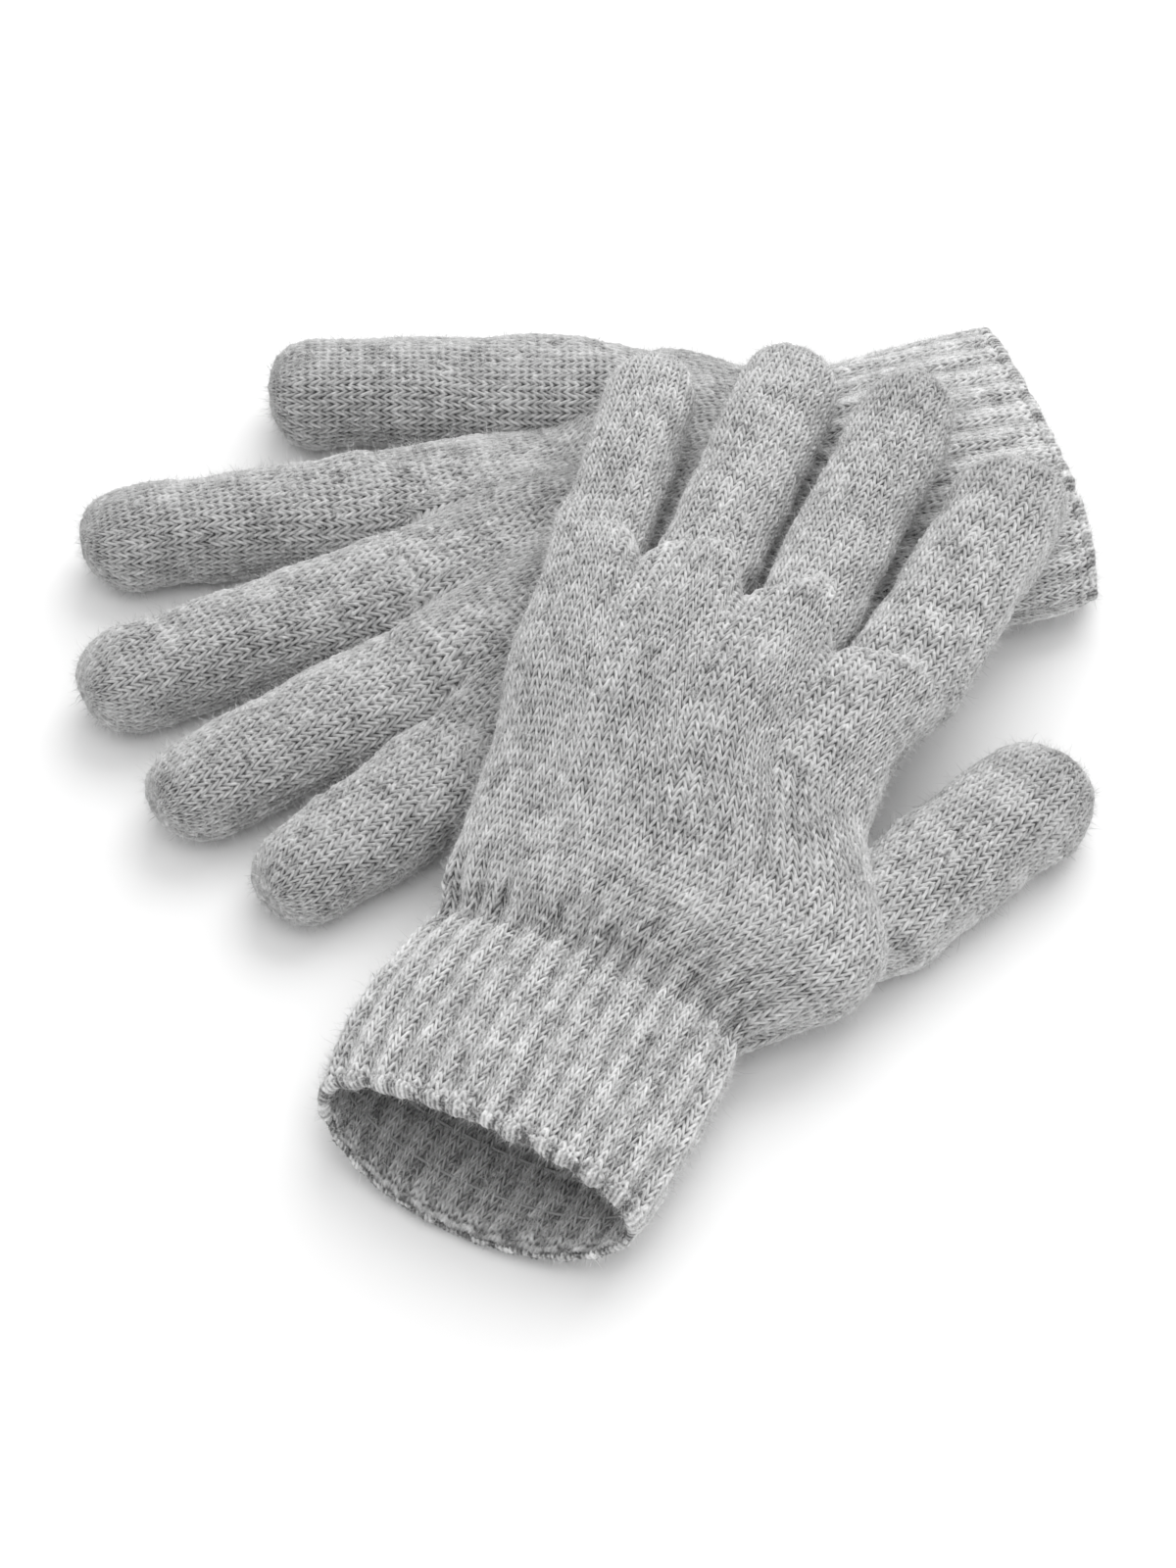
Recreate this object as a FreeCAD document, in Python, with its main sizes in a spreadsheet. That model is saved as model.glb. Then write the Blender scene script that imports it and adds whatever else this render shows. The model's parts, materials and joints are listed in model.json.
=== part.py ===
"""A pair of knitted gloves lying one across the other, with the fingers spread.

The lower glove lies flat on the table. The upper glove rests its cuff and thumb on the table and
its four fingers on the lower glove. Millimetres and degrees; +Z is up, +Y runs away from a person
who looks at the pair, +X is to that person's right, and the origin is at the middle of the
underside. Each glove has a frame of its own, with its origin on the table at the middle of the
cuff's hem: x points to the thumb's side, y to the fingertips and z up. Each digit has a frame at
its root crease, with y along the digit and z = 0 at its underside.

The knitted fabric is a wall of even thickness round the space for the hand. A digit is cut at its
root crease and at its middle crease, so that each length can turn on its neighbour. Every crease
turns about the line along the top of the tube, where a flat glove folds.
"""

import FreeCAD
import Part
import Sketcher
import os
from math import cos, pi, radians, sin

GLOVES = ("lower", "upper")
DIGITS = ("thumb", "index", "middle", "ring", "pinky")
TOUCH_DIGITS = ("thumb", "index", "middle")
STATIONS = ("wrist", "heel", "centre", "knuckles")
ELASTIC_TURNS = 4
TIP_ANGLES = (0, 28, 52, 70, 82)

SHARED = {
    "wall": 2.2,
    "crease_gap": 0.3,
    "stub_depth": 22,
    "touch_length": 18,
    "tip_depth": 13,
    "welt_length": 3.5,
    "welt_proud": 1.2,
    "elastic_width": 0.8,
    "elastic_clearance": 0.6,
    "elastic_first": 10,
    "elastic_pitch": 9,
    "thumb_stub_depth": 30,
    "thumb_stub_width": 23,
    "thumb_stub_height": 19,
    "thumb_width": 29,
    "thumb_height": 23,
    "index_width": 26.5,
    "index_height": 22,
    "middle_width": 26,
    "middle_height": 22,
    "ring_width": 25.5,
    "ring_height": 22,
    "pinky_width": 23.5,
    "pinky_height": 20,
}

# Where each glove lies: the hem's middle, and the turn from +Y to the glove's own length.
PLACES = {
    "lower": {"x": 106.3, "y": 98.7, "turn": 105.7},
    "upper": {"x": -23.6, "y": -114.9, "turn": -28.4},
}

# The cuff's hem: width, height, and how far its underside reaches past its upper edge.
HEM_COLUMNS = ("x", "z", "width", "height", "slant")
HEMS = {
    "lower": (0, 1.7, 87, 17, -8),
    "upper": (0.5, 1.4, 79, 25.5, -28),
}

# The palm's cross-sections, from the wrist to the knuckles.
PALM_COLUMNS = ("x", "y", "z", "roll", "width", "height")
PALMS = {
    "lower": (
        (-2, 50, 0, 0, 84, 19),
        (3.5, 80, 0, 0, 107, 20),
        (-7, 104, 0, 0, 88, 20),
        (-8.5, 146, 0, 0, 99, 21),
    ),
    "upper": (
        (-2, 49, 0, 0, 74, 26),
        (-1, 76, 3.5, 4, 96, 28),
        (-12.5, 106, 15, 9, 86, 26),
        (-14, 144, 18.8, 5, 95, 24),
    ),
}

# Each digit's root crease: place, lean towards the thumb's side, upward tilt, length to the tip.
DIGIT_COLUMNS = ("x", "y", "z", "lean", "tilt", "length")
DIGIT_TABLE = {
    "lower": {
        "thumb": (53, 108, 0, 14, 0, 66),
        "index": (27, 159, 0, 3, 0, 67),
        "middle": (-2.5, 161, 0, -12, 0, 76),
        "ring": (-34, 168.5, 0, -22, 0, 63),
        "pinky": (-63, 167.5, 0, -32, 0, 49),
    },
    "upper": {
        "thumb": (46.8, 105, 0, 18, 0, 53.5),
        "index": (25.8, 152, 15.5, -1.5, 3.5, 70),
        "middle": (-1.2, 158, 20.5, -6.5, 1, 76),
        "ring": (-28.5, 158, 21.5, -9.5, 0, 71),
        "pinky": (-53.5, 154, 22, -15, 0, 60),
    },
}


def fill_sheet(doc):
    """Writes every driving dimension to the sheet, one alias to a row, and returns the values."""
    values = dict(SHARED)
    for glove in GLOVES:
        for column, value in PLACES[glove].items():
            values[f"{glove}_{column}"] = value
        for column, value in zip(HEM_COLUMNS, HEMS[glove]):
            values[f"{glove}_hem_{column}"] = value
        for station, row in zip(STATIONS, PALMS[glove]):
            for column, value in zip(PALM_COLUMNS, row):
                values[f"{glove}_{station}_{column}"] = value
        for digit in DIGITS:
            for column, value in zip(DIGIT_COLUMNS, DIGIT_TABLE[glove][digit]):
                values[f"{glove}_{digit}_{column}"] = value
    sheet = doc.addObject("Spreadsheet::Sheet", "dims")
    for row, (alias, value) in enumerate(values.items(), start=1):
        sheet.set(f"A{row}", alias)
        sheet.set(f"B{row}", str(value))
        sheet.setAlias(f"B{row}", alias)
    doc.recompute()
    return sheet


def frame(x, y, z, turn="0", roll="0", tilt="0"):
    """A placement as an expression: moved to x, y, z, turned about Z, rolled about Y, tilted about X."""
    return f"placement(vector({x}; {y}; {z}); rotation({turn}; {roll}; {tilt}))"


def glove_frame(glove):
    return frame(f"dims.{glove}_x", f"dims.{glove}_y", "0", f"dims.{glove}_turn")


def digit_frame(glove, digit):
    """The digit's frame in its glove's frame, at the middle of the root crease's underside."""
    name = f"dims.{glove}_{digit}"
    return frame(f"{name}_x", f"{name}_y", f"{name}_z", f"-{name}_lean", "0", f"{name}_tilt")


def station_frame(glove, station):
    name = f"dims.{glove}_{station}"
    return frame(f"{name}_x", f"{name}_y", f"{name}_z", "0", f"{name}_roll")


def hem_frame(glove):
    """The slanted plane of the hem, which passes through the upper edge at y = 0."""
    name = f"dims.{glove}_hem"
    foot = f"{name}_height * sin({name}_slant)"
    rise = f"{name}_height * (1 - cos({name}_slant)) / 2"
    return frame(f"{name}_x", foot, f"{name}_z + {rise}", "0", "0", f"{name}_slant")


def along(base, distance, lift="0"):
    """A frame further along the tube by distance, and higher by lift."""
    return f"{base} * {frame('0', distance, lift)}"


def new_body(doc, label, place):
    body = doc.addObject("PartDesign::Body", label)
    body.Label = label
    body.setExpression("Placement", place)
    return body


def oval(body, name, section, width, height, inset="0"):
    """A flat-sided oval upright in the section's frame, with its lowest point at z = inset.

    Width and height are the outer sizes; inset moves the whole outline inwards.
    """
    plane = next(p for p in body.Origin.OriginFeatures if p.Role == "XZ_Plane")
    sketch = body.newObject("Sketcher::SketchObject", name)
    sketch.AttachmentSupport = [(plane, "")]
    sketch.MapMode = "FlatFace"
    lie_down = "placement(vector(0; 0; 0); rotation(vector(1; 0; 0); -90))"
    stand_up = f"placement(vector(0; 0; ({height}) / 2); rotation(vector(1; 0; 0); 90))"
    sketch.setExpression("AttachmentOffset", f"{lie_down} * {section} * {stand_up}")
    radius, half_flat = 8, 10
    normal = FreeCAD.Vector(0, 0, 1)
    right = Part.Circle(FreeCAD.Vector(half_flat, 0, 0), normal, radius)
    left = Part.Circle(FreeCAD.Vector(-half_flat, 0, 0), normal, radius)
    top = FreeCAD.Vector(half_flat, radius, 0), FreeCAD.Vector(-half_flat, radius, 0)
    foot = FreeCAD.Vector(-half_flat, -radius, 0), FreeCAD.Vector(half_flat, -radius, 0)
    sketch.addGeometry([
        Part.ArcOfCircle(right, -pi / 2, pi / 2),
        Part.LineSegment(*top),
        Part.ArcOfCircle(left, pi / 2, 3 * pi / 2),
        Part.LineSegment(*foot),
    ], False)
    rule = Sketcher.Constraint
    sketch.addConstraint([
        rule("Tangent", 0, 2, 1, 1),
        rule("Tangent", 1, 2, 2, 1),
        rule("Tangent", 2, 2, 3, 1),
        rule("Tangent", 3, 2, 0, 1),
        rule("Equal", 0, 2),
        rule("Symmetric", 0, 3, 2, 3, -1, 1),
        rule("Horizontal", 1),
        rule("Radius", 0, radius),
        rule("DistanceX", 2, 3, 0, 3, 2 * half_flat),
    ])
    sketch.renameConstraint(7, "radius")
    sketch.renameConstraint(8, "flat")
    sketch.setExpression("Constraints.radius", f"({height}) / 2 - ({inset})")
    sketch.setExpression("Constraints.flat", f"({width}) - ({height})")
    return sketch


def loft(body, name, kind, sections):
    """A ruled loft, Additive or Subtractive, through (frame, width, height, inset) sections."""
    sketches = [
        oval(body, f"{name}_{number}", *section) for number, section in enumerate(sections, start=1)
    ]
    feature = body.newObject(f"PartDesign::{kind}Loft", name)
    feature.Profile = sketches[0]
    feature.Sections = sketches[1:]
    feature.Ruled = True
    return feature


def tube(body, sections):
    """A tube with both ends open: an outer loft, and an inner one a wall's thickness inside it."""
    loft(body, "outside", "Additive", [(*section, "0") for section in sections])
    loft(body, "inside", "Subtractive", [(*section, "dims.wall") for section in sections])


def tip_sections(start, end, width, height, inset):
    """Sections of a rounded fingertip whose straight part begins at start and which ends at end."""
    base = frame("0", "0", "0")
    depth = f"(dims.tip_depth - {inset})"
    sections = [(along(base, start), width, height, inset)]
    for angle in TIP_ANGLES:
        reach = round(sin(radians(angle)), 4)
        scale = round(cos(radians(angle)), 4)
        place = f"({end}) - {inset} - {depth} * {1 - reach:.4f}"
        inner_height = f"(({height}) - 2 * {inset})"
        small_height = f"{inner_height} * {scale}"
        small_width = f"((({width}) - 2 * {inset}) * {scale})"
        lift = f"(({height}) - {small_height}) / 2"
        sections.append((along(base, place, lift), small_width, small_height, "0"))
    return sections


def capped_tube(body, start, end, width, height):
    """A length of tube closed by a rounded tip, open at its start."""
    loft(body, "outside", "Additive", tip_sections(start, end, width, height, "0"))
    loft(body, "inside", "Subtractive", tip_sections(start, end, width, height, "dims.wall"))


def digit_size(digit):
    return f"dims.{digit}_width", f"dims.{digit}_height"


def fold_place(glove, digit):
    """The distance from the root crease to the middle crease: half the digit."""
    return f"dims.{glove}_{digit}_length / 2"


def digit_base(doc, glove, digit):
    """The length of a digit between its root crease and its middle crease."""
    place = f"{glove_frame(glove)} * {digit_frame(glove, digit)}"
    body = new_body(doc, f"{glove}_{digit}_base", place)
    width, height = digit_size(digit)
    start = along(frame("0", "0", "0"), "dims.crease_gap / 2")
    end = along(frame("0", "0", "0"), f"{fold_place(glove, digit)} - dims.crease_gap / 2")
    tube(body, [(start, width, height), (end, width, height)])
    return body


def digit_end(doc, glove, digit):
    """The outer length of a digit: open towards a touch tip, or closed by its own tip."""
    place = f"{glove_frame(glove)} * {digit_frame(glove, digit)}"
    width, height = digit_size(digit)
    start = f"{fold_place(glove, digit)} + dims.crease_gap / 2"
    length = f"dims.{glove}_{digit}_length"
    body = new_body(doc, f"{glove}_{digit}_end", place)
    if digit not in TOUCH_DIGITS:
        capped_tube(body, start, length, width, height)
        return [body]
    seam = f"{length} - dims.touch_length"
    base = frame("0", "0", "0")
    tube(body, [(along(base, start), width, height), (along(base, seam), width, height)])
    cap = new_body(doc, f"{glove}_{digit}_touch_tip", place)
    capped_tube(cap, seam, length, width, height)
    return [body, cap]


def palm(doc, glove):
    """The palm with the five short stubs that the digits grow from, hollow throughout."""
    body = new_body(doc, f"{glove}_palm", glove_frame(glove))
    stations = []
    for station in STATIONS:
        name = f"dims.{glove}_{station}"
        stations.append((station_frame(glove, station), f"{name}_width", f"{name}_height"))
    stubs = {}
    for digit in DIGITS:
        width, height = digit_size(digit)
        base = digit_frame(glove, digit)
        end = (along(base, "-dims.crease_gap / 2"), width, height)
        back = (along(base, "-dims.stub_depth"), width, height)
        if digit == "thumb":
            lift = f"({height} - dims.thumb_stub_height) / 2"
            back_frame = along(base, "-dims.thumb_stub_depth", lift)
            back = (back_frame, "dims.thumb_stub_width", "dims.thumb_stub_height")
        stubs[digit] = [back, end]
    loft(body, "outside", "Additive", [(*section, "0") for section in stations])
    for digit, sections in stubs.items():
        loft(body, f"{digit}_stub", "Additive", [(*s, "0") for s in sections])
    loft(body, "inside", "Subtractive", [(*section, "dims.wall") for section in stations])
    for digit, sections in stubs.items():
        loft(body, f"{digit}_way", "Subtractive", [(*s, "dims.wall") for s in sections])
    return body


def cuff_sections(glove):
    """The cuff's three planes: the hem, the top of the welt, and the wrist."""
    hem = f"dims.{glove}_hem"
    wrist = f"dims.{glove}_wrist"
    gap = "dims.crease_gap" if glove == "upper" else "0"
    wrist_plane = along(station_frame(glove, "wrist"), f"-{gap}")
    return [
        (hem_frame(glove), f"{hem}_width", f"{hem}_height"),
        (along(hem_frame(glove), "dims.welt_length"), f"{hem}_width", f"{hem}_height"),
        (wrist_plane, f"{wrist}_width", f"{wrist}_height"),
    ]


def cuff(doc, glove):
    """The ribbed cuff, from the welt to the wrist."""
    body = new_body(doc, f"{glove}_cuff", glove_frame(glove))
    tube(body, cuff_sections(glove)[1:])
    return body


def welt(doc, glove):
    """The rolled edge of the cuff, a little proud of it on the outside."""
    body = new_body(doc, f"{glove}_cuff_welt", glove_frame(glove))
    hem_plane, seam_plane, _ = cuff_sections(glove)
    proud = [(*section, "-dims.welt_proud") for section in (hem_plane, seam_plane)]
    inner = [(*section, "dims.wall") for section in (hem_plane, seam_plane)]
    loft(body, "outside", "Additive", proud)
    loft(body, "inside", "Subtractive", inner)
    return body


def elastic(doc, glove):
    """The turns of elastic thread that line the inside of the cuff, as one group of rings."""
    hem, wrist = f"dims.{glove}_hem", f"dims.{glove}_wrist"
    rings = []
    for turn in range(ELASTIC_TURNS):
        ring = new_body(doc, f"{glove}_elastic_turn_{turn + 1}", glove_frame(glove))
        near = f"(dims.elastic_first + {turn} * dims.elastic_pitch)"
        sections = []
        for place in (near, f"({near} + dims.elastic_width)"):
            share = f"({place} / {wrist}_y)"
            middle = f"{hem}_x + ({wrist}_x - {hem}_x) * {share}"
            width = f"({hem}_width + ({wrist}_width - {hem}_width) * {share})"
            hem_rise = f"{hem}_height * cos({hem}_slant)"
            height = f"({hem_rise} + ({wrist}_height - {hem_rise}) * {share})"
            lift = f"{hem}_z * (1 - {share})"
            sections.append((frame(middle, place, lift), width, height))
        outer = "dims.wall + dims.elastic_clearance"
        inner = f"{outer} + dims.elastic_width"
        loft(ring, "outside", "Additive", [(*s, outer) for s in sections])
        loft(ring, "inside", "Subtractive", [(*s, inner) for s in sections])
        rings.append(ring)
    group = doc.addObject("Part::Compound", f"{glove}_cuff_elastic")
    group.Links = rings
    group.Label = f"{glove}_cuff_elastic"
    return group


def check(doc, pieces):
    """Stops the script if any object failed or any piece isn't a valid solid."""
    for item in doc.Objects:
        if "Invalid" in item.State or "Error" in item.State:
            raise RuntimeError(f"{item.Label} failed: {item.State}")
    for piece in pieces:
        if piece.Shape.isNull() or not piece.Shape.isValid() or not piece.Shape.Solids:
            raise RuntimeError(f"{piece.Label} isn't a valid solid")


def main():
    doc = FreeCAD.newDocument("knitted_gloves")
    fill_sheet(doc)
    pieces = []
    for glove in GLOVES:
        pieces += [palm(doc, glove), cuff(doc, glove), welt(doc, glove), elastic(doc, glove)]
        for digit in DIGITS:
            pieces.append(digit_base(doc, glove, digit))
            pieces += digit_end(doc, glove, digit)
    doc.recompute()
    check(doc, pieces)
    os.makedirs("parts", exist_ok=True)
    box = FreeCAD.BoundBox()
    for piece in pieces:
        piece.Shape.exportStep(f"parts/{piece.Label}.step")
        box.add(piece.Shape.BoundBox)
        print(f"{piece.Label}: {piece.Shape.Volume:.0f} mm3, {len(piece.Shape.Solids)} solids")
    print(f"{len(pieces)} nodes; the whole: {box}")


main()
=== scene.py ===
import json
import math
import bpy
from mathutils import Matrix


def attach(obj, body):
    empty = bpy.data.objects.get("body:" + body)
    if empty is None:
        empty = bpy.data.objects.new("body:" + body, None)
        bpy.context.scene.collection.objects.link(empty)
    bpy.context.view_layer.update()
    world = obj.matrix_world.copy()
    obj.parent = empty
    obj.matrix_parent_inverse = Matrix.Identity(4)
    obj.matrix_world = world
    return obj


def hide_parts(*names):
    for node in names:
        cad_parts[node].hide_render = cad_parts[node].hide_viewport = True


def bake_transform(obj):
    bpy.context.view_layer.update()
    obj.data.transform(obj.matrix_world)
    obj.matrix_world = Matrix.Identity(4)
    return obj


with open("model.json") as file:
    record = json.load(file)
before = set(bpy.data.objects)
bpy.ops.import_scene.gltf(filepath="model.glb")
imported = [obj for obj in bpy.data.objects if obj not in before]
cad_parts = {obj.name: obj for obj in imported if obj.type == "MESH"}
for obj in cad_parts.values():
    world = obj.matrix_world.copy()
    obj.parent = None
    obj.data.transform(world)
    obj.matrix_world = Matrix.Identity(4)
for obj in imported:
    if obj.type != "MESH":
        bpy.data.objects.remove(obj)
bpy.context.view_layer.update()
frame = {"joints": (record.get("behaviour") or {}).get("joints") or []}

import types

import bpy
import numpy as np
from mathutils import Vector

# ---------------------------------------------------------------------------------------------
# Sizes, in millimetres unless a name says otherwise. Meshes are turned into metres as they are made.
# ---------------------------------------------------------------------------------------------

MM = 0.001
GLOVES = ("lower", "upper")
FINGERS = ("pinky", "ring", "middle", "index")
DIGITS = ("thumb", "index", "middle", "ring", "pinky")
TOUCH_DIGITS = ("thumb", "index", "middle")

# Where each glove's own frame lies: x to the thumb, y to the fingertips, origin at the hem.
PLACES = {"lower": (106.3, 98.7, 105.7), "upper": (-23.6, -114.9, -28.4)}
DIGIT_SIZES = {
    "thumb": (29.0, 23.0),
    "index": (26.5, 22.0),
    "middle": (26.0, 22.0),
    "ring": (25.5, 22.0),
    "pinky": (23.5, 20.0),
}
TIP_DEPTH = 13.0
TOUCH_LENGTH = 18.0

# The knit. A wale is a column of stitches and a course is a row of them.
SLEEVE_WALES = 78
DIGIT_WALES = {"thumb": 26, "index": 24, "middle": 24, "ring": 24, "pinky": 22}
COLUMNS = 8  # mesh columns in a wale
ROWS = 4  # mesh rows in a course
COURSE = {"cuff": 2.0, "palm": 2.1, "digit": 1.95}
VEE = 1.5  # courses that a leg climbs from the middle of its wale to the edge
LEVEL = 0.62  # how high the knit stands on average, as a share of the relief
RELIEF = 1.05  # from the bottom of a gap between stitches to the top of a leg
RIB_RELIEF = {"lower": 0.9, "upper": 1.5}
RIB_SHADE = {"lower": 0.10, "upper": 0.20}  # how much lower the yarn stands in a purl wale, and how much painted shade its colour takes there
RIB_WALES = 3  # two knit wales and a purl wale
NAP = 0.75  # loose fibres in each square millimetre

# The sleeve: the cuff and the palm in one run. The hem and the wrist are given as x, underside, width
# and height. hem_top is where the hem's upper edge lies along the glove, hem_lip how far its underside
# reaches out past that, and hem_corner how far its -x corner is cut back. belly is how far the cuff
# swells on its -x and +x sides, heel_bulge how far the palm swells towards the thumb, and crotch_dent
# how far it draws in beyond the thumb. Each row of palm is y, underside, height and roll.
SLEEVES = {
    "lower": {
        "hem": (-2.6, 1.7, 93.0, 17.0),
        "hem_top": -0.4,
        "hem_corner": 5.0,
        "hem_lip": 3.0,
        "belly": (4.2, 0.8),
        "wrist": (-2.0, 0.3, 83.0, 18.5),
        "wrist_y": 50.0,
        "heel_bulge": 15.0,
        "crotch_dent": 0.0,
        "palm": (
            (50, 0.3, 18.5, 0),
            (62, 0.2, 20.5, 0),
            (82, 0.2, 20.5, 0),
            (112, 0.2, 20.5, 0),
            (158, 0.4, 21.5, 0),
        ),
    },
    "upper": {
        "hem": (1.5, 1.2, 74.0, 25.0),
        "hem_top": -2.0,
        "hem_corner": 0.0,
        "hem_lip": 12.0,
        "belly": (3.7, 0.9),
        "wrist": (-2.0, 0.8, 74.0, 24.5),
        "wrist_y": 49.0,
        "heel_bulge": 15.0,
        "crotch_dent": 4.0,
        "palm": (
            (49, 0.8, 24.5, 0),
            (61, 0.8, 29.0, 2),
            (80, 4.0, 28.5, 4),
            (108, 14.0, 26.5, 8),
            (152, 18.6, 24.5, 5),
        ),
    },
}


# ---------------------------------------------------------------------------------------------
# Small tools
# ---------------------------------------------------------------------------------------------


def smooth(x, low=0.0, high=1.0):
    """0 below low, 1 above high, and an easy slope between."""
    t = np.clip((x - low) / (high - low), 0, 1)
    return t * t * (3 - 2 * t)


def unit(v):
    return v / np.maximum(np.linalg.norm(v, axis=-1, keepdims=True), 1e-9)


def hermite(t):
    """The weights at t, from 0 to 1, of the start, the slope there, the end and the slope there."""
    return 2 * t**3 - 3 * t**2 + 1, t**3 - 2 * t**2 + t, 3 * t**2 - 2 * t**3, t**3 - t**2


def curve_through(xs, ys, x):
    """A smooth curve through a few points, level-ended, with no overshoot to speak of."""
    xs, ys = np.asarray(xs, float), np.asarray(ys, float)
    slopes = np.gradient(ys, xs)
    slopes[0] = slopes[-1] = 0
    k = np.clip(np.searchsorted(xs, x) - 1, 0, len(xs) - 2)
    h = xs[k + 1] - xs[k]
    t = np.clip((x - xs[k]) / h, 0, 1)
    a, b, c, d = hermite(t)
    return a * ys[k] + b * h * slopes[k] + c * ys[k + 1] + d * h * slopes[k + 1]


def ripple(points, wavelength, seed, waves=7):
    """Soft unevenness between about -1 and 1 over points in space."""
    rng = np.random.default_rng(seed)
    total = np.zeros(points.shape[:-1])
    for _ in range(waves):
        direction = rng.normal(size=3)
        direction /= np.linalg.norm(direction)
        k = 2 * math.pi / (wavelength * rng.uniform(0.7, 1.5))
        total += np.sin(points @ direction * k + rng.uniform(0, 2 * math.pi))
    return total / math.sqrt(waves)


def oval_table(aspect, top_power, bottom_power):
    """An oval as two curves over the share of its outline, from the +x end over the top."""
    angle = np.linspace(0, 2 * math.pi, 1441)
    c, s = np.cos(angle), np.sin(angle)
    power = 2 / np.where(s >= 0, top_power, bottom_power)
    x = np.sign(c) * np.abs(c) ** power
    z = np.sign(s) * np.abs(s) ** power
    step = np.hypot(np.diff(x), aspect * np.diff(z))
    share = np.concatenate([[0], np.cumsum(step)])
    return share / share[-1], x, z


def on_oval(table, share):
    share = share % 1.0
    return np.interp(share, table[0], table[1]), np.interp(share, table[0], table[2])


def grid_normals(points):
    """Outward normals of a tube's grid, rows along it and columns round it."""
    along = np.gradient(points, axis=0)
    padded = np.concatenate([points[:, -1:], points, points[:, :1]], axis=1)
    around = (padded[:, 2:] - padded[:, :-2]) / 2
    return unit(np.cross(along, around))


def above_floor(points):
    """Points with the lowest ones eased up, so that nothing dips under z = 0."""
    z = points[..., 2]
    eased = np.where(z < 0.8, 0.8 * np.exp(np.minimum(z - 0.8, 0) / 0.8), z)
    return np.concatenate([points[..., :2], eased[..., None]], -1)


def sample_rows(grid, where):
    """Values of a grid at fractional rows, where[j, i], in the same column."""
    where = np.clip(where, 0, grid.shape[0] - 1.001)
    low = where.astype(int)
    part = where - low
    column = np.arange(grid.shape[1])[None, :]
    if grid.ndim == 3:
        part = part[..., None]
    return grid[low, column] * (1 - part) + grid[low + 1, column] * part


# ---------------------------------------------------------------------------------------------
# The knit
# ---------------------------------------------------------------------------------------------


class Knit:
    """A tube of plain knit or rib: a smooth surface with stitches raised on it.

    surface has rows every row_step mm along the tube and COLUMNS columns in each wale. The mesh rows
    follow the slant of the stitches' legs, so each leg is a clean ridge.
    """

    def __init__(self, surface, row_step, wales, course, seed, rib=None, fade=None):
        length = (surface.shape[0] - 1) * row_step
        self.wales, self.course = wales, course
        courses = int(round(length / course))
        q = np.arange(courses * ROWS + 1) / ROWS
        u = np.arange(wales * COLUMNS) / COLUMNS
        self.q, self.u = q, u
        across = (u % 1.0) - 0.5
        climb = VEE * 2 * np.abs(across) - VEE / 2
        shear = smooth(q, 0, 3) * smooth(courses - q, 0, 4)
        where = (q[:, None] + climb[None, :] * shear[:, None]) * length / courses
        self.where = np.clip(where, 0, length)
        base = sample_rows(surface, self.where / row_step)
        normals = unit(sample_rows(grid_normals(surface), self.where / row_step))
        self.rib = np.zeros(base.shape[:2]) if rib is None else sample_rows(rib, self.where / row_step)
        keep = np.ones(base.shape[:2]) if fade is None else sample_rows(fade, self.where / row_step)
        self.base, self.normals = base, normals
        self.relief = self.stitches(seed) * keep + LEVEL * (1 - keep)
        # Purl wales stand lower, and their colour takes the same drop as painted shade.
        if rib is not None:
            self.relief = self.relief - self.rib * (1 - rib_height(u))[None, :]
        lift = RELIEF * (np.maximum(self.relief, 0) - 0.65) + 0.14 * ripple(base, 4.0, seed + 5)
        self.points = above_floor(base + normals * lift[..., None])

    def stitches(self, seed):
        """How high the yarn stands, from 0 in the gaps to 1 on top of a leg.

        The deep gaps are dots: one where each V turns and one where it meets its neighbours.
        """
        rng = np.random.default_rng(seed)
        drift = [0.06 * ripple(self.base, size, seed + k) for k, size in ((11, 14.0), (12, 9.0))]
        across = ((self.u + 0.35 * drift[0]) % 1.0 - 0.5) * 2
        between = np.abs(np.cos(math.pi * np.abs(across))) ** 1.1
        phase = (self.q[:, None] + drift[1]) % 1.0
        turn = np.abs(2 * phase - 1) ** 1.5
        leg = (np.floor(self.u * 2)).astype(int)
        row = np.floor(self.q).astype(int)
        uneven = rng.normal(0.0, 0.13, (row.max() + 1, leg.max() + 1))[row][:, leg]
        gap = (0.30 + 0.70 * between) * (0.26 + 0.74 * turn)
        return np.clip(1.04 - gap * (1.05 + 0.8 * uneven) + 0.6 * uneven, 0, 1.25)

    def tone(self, seed):
        """The yarn's own unevenness: each course runs lighter and darker along the yarn."""
        rng = np.random.default_rng(seed)
        rows = int(self.q.max()) + 2
        knots = rng.normal(0, 1, (rows, 2 * self.wales))
        for _ in range(2):
            knots = (np.roll(knots, 1, 1) + 2 * knots + np.roll(knots, -1, 1)) / 4
        leg = (np.floor(self.u * 2)).astype(int)
        row = np.floor(self.q).astype(int)
        single = rng.normal(0, 1, (rows, 2 * self.wales))
        return (knots[row][:, leg] * 0.9 + single[row][:, leg] * 0.45)


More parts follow.
